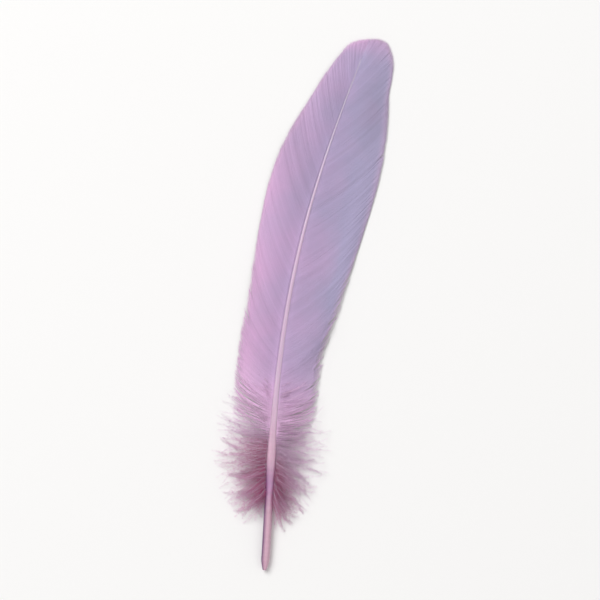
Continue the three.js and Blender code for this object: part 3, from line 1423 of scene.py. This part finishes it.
@dataclass
class Down(Growth):
    """The loose fluff at the foot of one vane: soft barbs, each fringed with fine strands.

    grow is how far along its stretch of shaft a barb grows, and out how far along the barb a ring lies,
    both 0 to 1.
    """

    pale_from: Span
    start: float = 23.0
    end: float = 58.0
    barbs: int = 150
    rings: int = 14
    around: int = 5
    region: Region = (0.0, 0.0, 1.0, 0.08)
    fringe: Fringe = Fringe(185, (2.4, 0.5), 168, (0.0, 0.08, 1.0, 1.0), radius=0.019)
    last_fringe: float = 0.35
    # How close the barbs grow along their stretch of shaft, thinning out over the foot of the vane
    thickness_places: Places = (0.0, 0.5, 0.66, 1.0)
    thickness: Places = (1.0, 0.95, 0.4, 0.2)
    # How a barb leaves the shaft and wavers, in degrees and radians, and how long it is
    root_out: float = 0.35
    root_rise: float = 0.3
    lean: Span = (-58.0, 34.0)
    lean_power: float = 0.8
    lean_spread: float = 18.0
    curl: Span = (-35.0, 55.0)
    curl_power: float = 1.3
    waver: float = 0.22
    waver_pace: Span = (5.0, 10.0)
    waver_phase: Span = (0.0, 6.3)
    length: Span = (8.5, 8.0)
    length_arc: Span = (0.12, 0.88)
    length_spread: Span = (0.5, 1.12)
    # How far the lowest and the highest barbs swell, and where their ends come to lie
    low_swell: Span = (-1.2, 2.6)
    high_swell: Span = (0.3, 1.7)
    end_height: Span = (0.2, 1.8)
    fall_power: float = 1.2
    floor_gap: float = 0.16
    barb_radius: float = 0.065
    end_thinness: float = 0.25
    end_point: float = 0.1
    tone_spread: float = 0.6
    end_paleness: float = 0.8
    barb_paleness: float = 0.9
    grow: Array = field(init=False)
    out: Array = field(init=False)

    def __post_init__(self) -> None:
        """Spreads the barbs along the shaft, thinning out upwards, and the rings along each barb."""
        super().__post_init__()
        even = (np.arange(self.barbs) + self.rng.uniform(0.0, 1.0, self.barbs))[:, None] / self.barbs
        self.grow = spread_by(even, self.thickness_places, self.thickness)
        self.out = shares(self.rings)[None]

    def barb_paths(self) -> Array:
        """Grows the soft barbs.

        The lowest lean back along the quill, the highest lean forward over the web, and those between
        are the longest. Each curls and wavers as it goes, and its height swells, then falls.

        Returns:
            Points of the barbs, barb by ring.
        """
        grow, out = self.grow, self.out
        shape = grow.shape
        y = mix(self.start, self.end, grow)
        spread = self.rng.uniform(-self.lean_spread, self.lean_spread, shape)
        lean = np.radians(mix(*self.lean, grow**self.lean_power) + spread)
        curl = np.radians(self.rng.uniform(*self.curl, shape))
        pace = self.rng.uniform(*self.waver_pace, shape)
        waver = self.waver * np.sin(pace * out + self.rng.uniform(*self.waver_phase, shape))
        heading = lean + curl * out**self.curl_power + waver * out
        shortest, longer = self.length
        length = shortest + longer * np.sin(np.pi * mix(*self.length_arc, grow))
        step = length * self.rng.uniform(*self.length_spread, shape) / (self.rings - 1)
        ways = (np.cos(heading), np.sin(heading))
        along_x, along_y = (np.cumsum(way * step, axis=1) - way[:, :1] * step for way in ways)
        root = self.roots(y, self.root_out)
        root[..., 2] += self.root_rise * self.form.width(y) * grow
        lot = self.rng.uniform(0.0, 1.0, shape)
        swell = mix(mix(*self.low_swell, lot), mix(*self.high_swell, lot), grow) * np.sin(np.pi * out)
        height = mix(root[..., 2], self.rng.uniform(*self.end_height, shape), out**self.fall_power) + swell
        x = root[..., 0] + self.side.value * along_x
        return np.stack([x, root[..., 1] + along_y, np.maximum(height, self.floor_gap)], axis=-1)

    def barb_rings(self, paths: Array) -> Array:
        """Puts a round section on the barbs, thinner towards their ends.

        Args:
            paths: Points of the barbs, barb by ring.

        Returns:
            Rings of points.
        """
        level, upward = level_and_upward(unit(np.gradient(paths, axis=1)))
        turn = turns(self.around)[:, None]
        ring = level[:, :, None] * np.cos(turn) + upward[:, :, None] * np.sin(turn)
        radius = self.barb_radius * mix(1.0, self.end_thinness, self.out)
        return paths[:, :, None] + radius[:, :, None, None] * ring

    def build(self) -> bpy.types.Object:
        """Makes the tuft and dresses it. It pales towards the barbs' ends and upwards.

        Returns:
            The piece.
        """
        paths = self.barb_paths()
        tone = self.rng.normal(0.0, self.tone_spread, self.grow.shape)
        pale = self.end_paleness * self.out + ease(*self.pale_from, self.grow)
        values = {"tone": np.broadcast_to(tone, pale.shape), "pale": pale}
        barbs = Strands(
            self.barb_rings(paths),
            paths[:, 0],
            past_end(paths, self.end_point),
            values | {"pale": pale + self.barb_paleness},
            columns=self.barbs,
            region=self.region,
        )
        fluff = self.fringe.strands(paths, values, mix(1.0, self.last_fringe, self.grow), self.rng)
        return self.make(Slot.DOWN, barbs, fluff)


@dataclass
class Studio:
    """The pale floor, the soft lights, and the camera straight above. Places and sizes are in metres."""

    view_width: float = 0.19
    distance: float = 0.9
    lean: float = math.radians(11.2)
    sensor: float = 36.0
    floor_size: float = 6.0
    floor_tint: Tint = (244, 243, 242)
    floor_roughness: float = 0.85
    floor_specular: float = 0.2
    sky_tint: Tint = (255, 255, 255)
    sky_strength: float = 0.45
    key_power: float = 44.0
    key_size: float = 1.5
    key_place: Triple = (-1.26, 0.9, 1.86)
    fill_power: float = 10.0
    fill_size: float = 2.1
    fill_place: Triple = (1.5, -1.05, 1.8)

    def lay_floor(self) -> None:
        """Lays a plain pale floor under the feather."""
        half = self.floor_size / 2.0
        mesh = bpy.data.meshes.new("floor")
        corners = [(-half, -half, 0.0), (half, -half, 0.0), (half, half, 0.0), (-half, half, 0.0)]
        mesh.from_pydata(corners, [], [(0, 1, 2, 3)])
        sheet = NodeSheet("pale_floor")
        sheet.dress(
            {
                "Base Color": linear(self.floor_tint),
                "Roughness": self.floor_roughness,
                "Specular IOR Level": self.floor_specular,
            }
        )
        mesh.materials.append(sheet.material)
        floor = add_object("floor", mesh)

    def light(self, name: str, place: Triple, size: float, power: float) -> None:
        """Hangs a square soft light that faces the feather.

        Args:
            name: The light's name.
            place: Where it hangs.
            size: Its side.
            power: Its power in watts.
        """
        data = bpy.data.lights.new(name, "AREA")
        data.size = size
        data.energy = power
        lamp = add_object(name, data)
        lamp.location = place
        lamp.rotation_euler = (-Vector(place)).to_track_quat("-Z", "Y").to_euler()

    def set_lights(self) -> None:
        """Sets an even sky, a key light from the upper left and a weaker fill."""
        world = bpy.data.worlds.new("studio")
        world.use_nodes = True
        background = world.node_tree.nodes["Background"]
        background.inputs["Color"].default_value = linear(self.sky_tint)
        background.inputs["Strength"].default_value = self.sky_strength
        bpy.context.scene.world = world
        self.light("key", self.key_place, self.key_size, self.key_power)
        self.light("fill", self.fill_place, self.fill_size, self.fill_power)
        bpy.context.scene.view_settings.view_transform = "Standard"

    def set_camera(self) -> None:
        """Looks straight down at the middle of the feather, turned so that it leans to the right."""
        data = bpy.data.cameras.new("camera")
        data.sensor_width = self.sensor
        data.lens = self.sensor * self.distance / self.view_width
        camera = add_object("camera", data)
        low, high = cad_box
        middle = (low + high) / 2.0
        camera.location = (middle.x, middle.y, self.distance)
        camera.rotation_euler = (0.0, 0.0, self.lean)
        bpy.context.scene.camera = camera

    def build(self) -> None:
        """Sets up the floor, the lights and the camera."""
        self.lay_floor()
        self.set_lights()
        self.set_camera()


# Each blot's last number is painted shade, painted light where negative, and the band beside the shaft is
# brightened by painted light
LEFT_WEB = WebTraits(
    start=41.0,
    fray=0.5,
    root_painted_light=0.26,
    splits=(Split(0.07, 0.5, 0.6), Split(0.2, 0.4, 0.7)),
    blots=(
        Blot(-4.0, 169.5, 5.5, 5.0, 0.3, -0.18),
        Blot(-6.5, 160.5, 4.5, 5.5, 0.1, -0.14),
        Blot(-20.0, 132.0, 6.0, 24.0, -0.2, 0.03),
        Blot(-9.0, 39.5, 4.0, 3.5, 0.3, 0.2),
        Blot(-8.4, 49.0, 2.2, 4.0, 0.0, 0.1),
    ),
)
RIGHT_WEB = WebTraits(
    start=38.5,
    fray=1.0,
    root_painted_light=0.1,
    splits=(Split(0.115, 0.6, 0.55), Split(0.19, 0.4, 0.65), Split(0.6, 0.25, 0.8)),
    blots=(
        Blot(6.5, 149.0, 5.0, 12.0, 0.1, 0.19),
        Blot(6.0, 93.0, 3.5, 24.0, -0.25, -0.15),
        Blot(-1.0, 66.0, 6.0, 14.0, -0.2, -0.08),
        Blot(-5.0, 48.5, 2.2, 4.0, 0.0, 0.16),
    ),
)


def main() -> None:
    """Builds the studio and the feather piece by piece, and reports each piece."""
    logging.basicConfig(level=logging.INFO, format="%(name)s: %(message)s")
    Studio().build()
    form = FeatherForm()
    web = WebFinish().material()
    fluff = FluffFinish().material()
    pieces = (
        Shaft(form),
        Vane(form, Side.LEFT, web, seed=11, traits=LEFT_WEB),
        Vane(form, Side.RIGHT, web, seed=12, traits=RIGHT_WEB),
        Down(form, Side.LEFT, fluff, seed=21, pale_from=(0.4, 0.64)),
        Down(form, Side.RIGHT, fluff, seed=22, pale_from=(0.14, 0.52)),
    )
    for piece in pieces:
        built = piece.build()
        log.info("%s: %d triangles", built.name, len(built.data.polygons))


if __name__ == "__main__":
    main()
